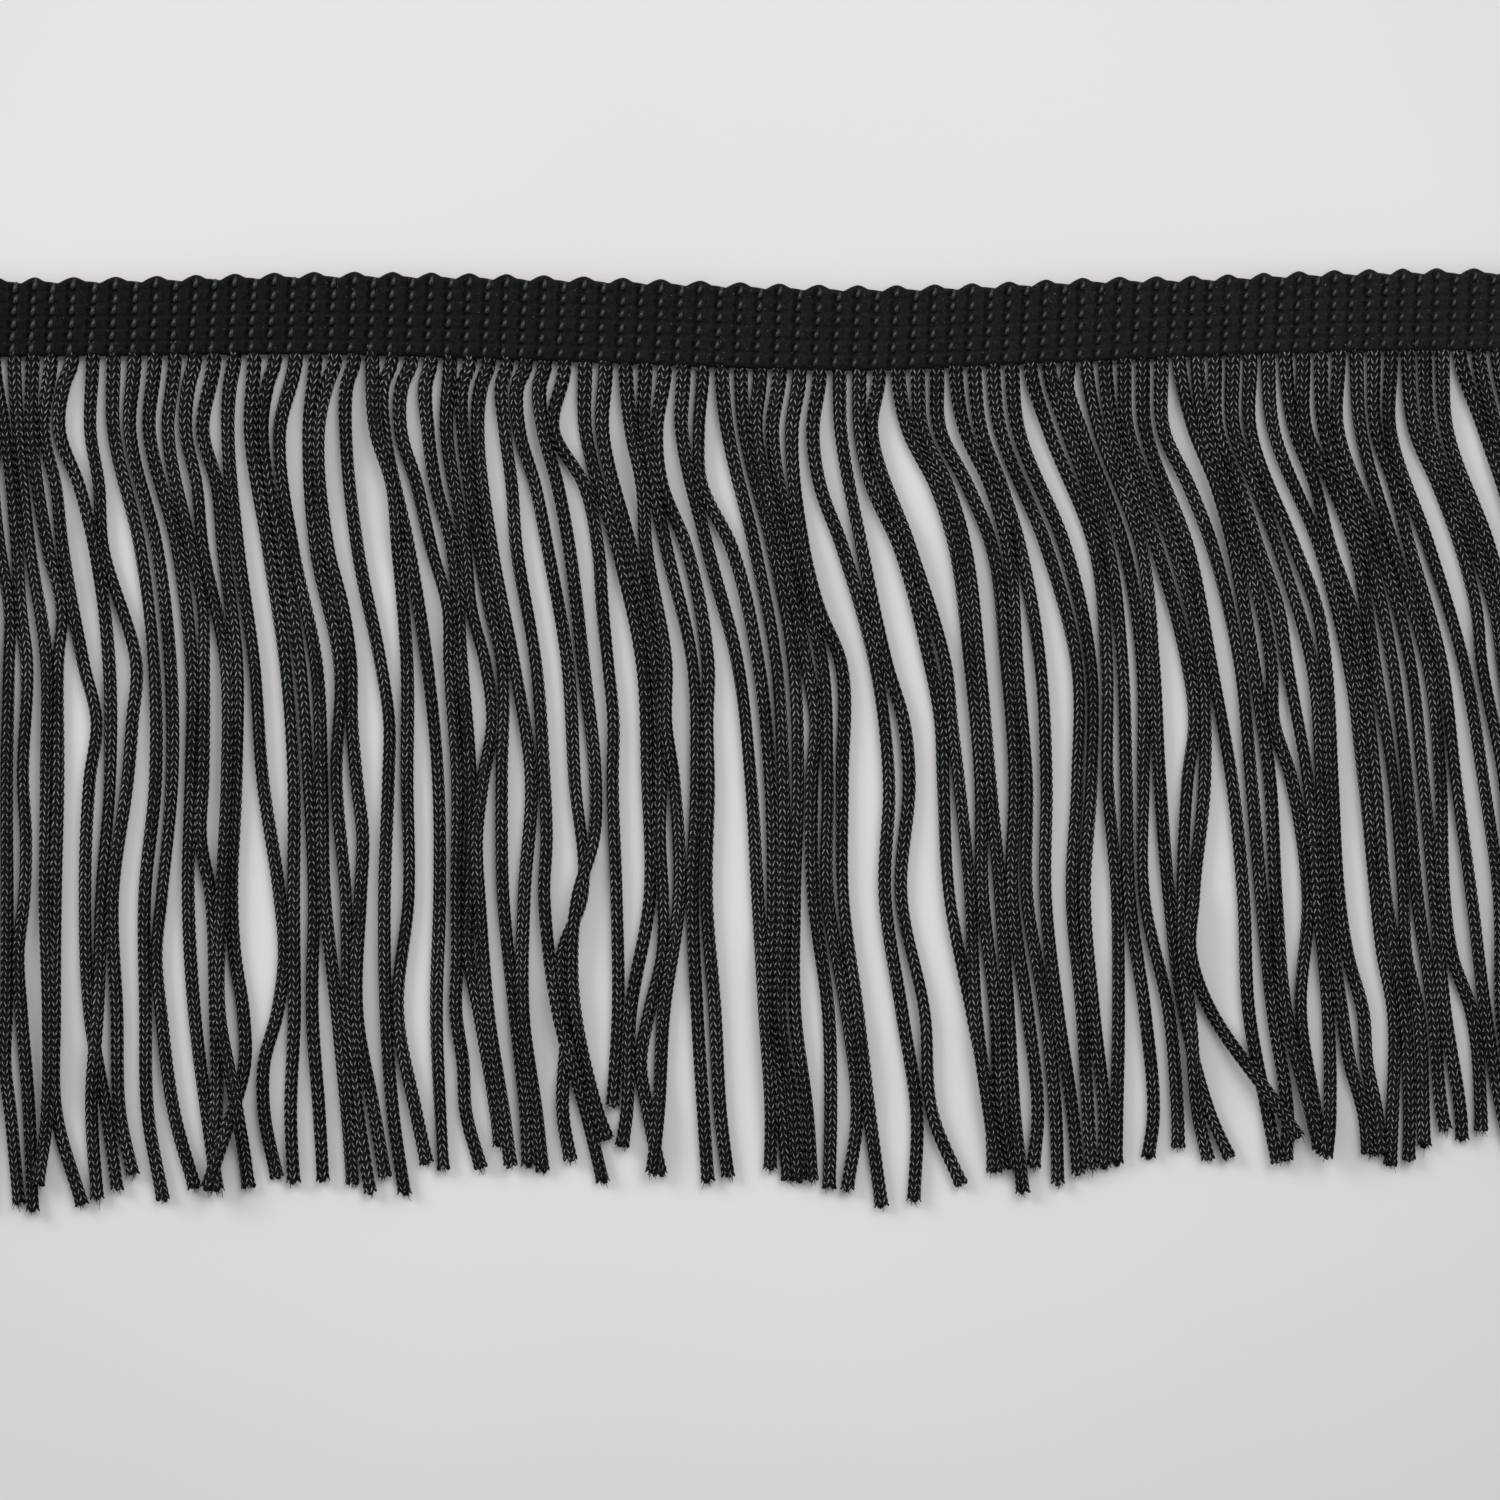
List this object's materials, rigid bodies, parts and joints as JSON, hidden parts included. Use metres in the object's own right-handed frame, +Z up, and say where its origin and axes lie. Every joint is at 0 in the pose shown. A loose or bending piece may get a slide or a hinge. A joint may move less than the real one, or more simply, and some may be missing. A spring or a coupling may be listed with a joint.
{
  "type": "tassel fringe trim",
  "caption": "Length of black trim: a knitted heading band with a deep fringe of braided cords, laid flat.",
  "frame": {"origin": "middle of the rectangle that the trim covers, on the surface it lies on", "axes": "+X along the heading band, +Y from the cords' cut ends towards the heading, +Z up out of the surface"},
  "size_m": [0.2142, 0.121, 0.002],
  "materials": {
    "knitted_heading": "ribbed knit, soft sheen",
    "braided_cord": "fine knitted cord, soft sheen"
  },
  "bodies": {
    "root": {"heading_band": "knitted_heading", "fringe_comb": "braided_cord"}
  },
  "joints": []
}
